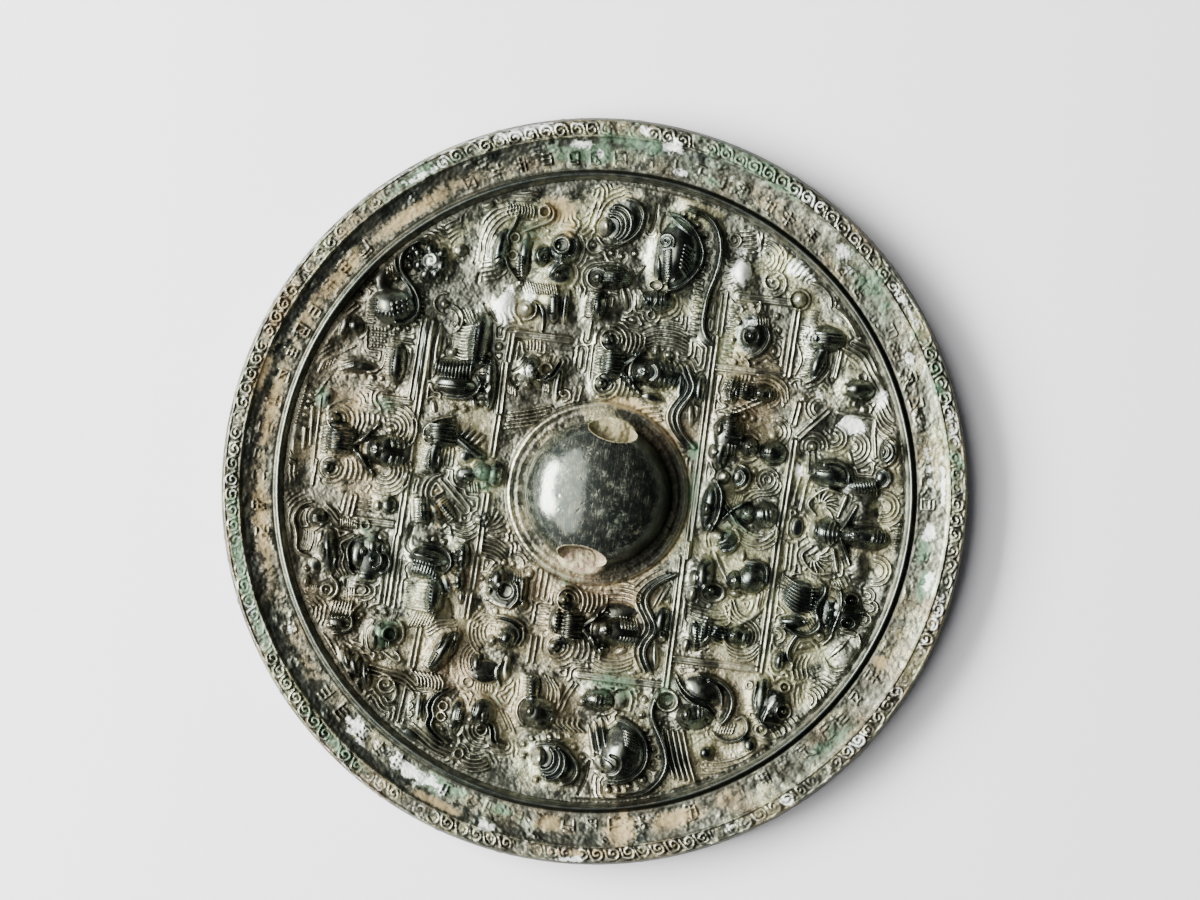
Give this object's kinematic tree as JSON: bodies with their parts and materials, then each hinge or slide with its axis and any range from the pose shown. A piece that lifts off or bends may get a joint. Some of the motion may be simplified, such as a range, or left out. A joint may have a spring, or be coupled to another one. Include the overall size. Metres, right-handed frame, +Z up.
{
  "type": "ancient bronze mirror",
  "caption": "Round bronze mirror lying face down, its back cast in relief with deities and beasts in registers around a pierced knob, inside a raised rim.",
  "frame": {"origin": "centre of the resting flat on the polished face, under the middle of the disc", "axes": "+Z up out of the relief side, +Y towards the top of the relief's figures, +X to their right as seen from above"},
  "size_m": [0.135, 0.135, 0.0124],
  "materials": {
    "bronze": "dark patinated high-tin bronze, glossy on the high points, with soil and green corrosion in the recesses"
  },
  "bodies": {
    "root": {"bronze_mirror": "bronze"}
  },
  "joints": []
}
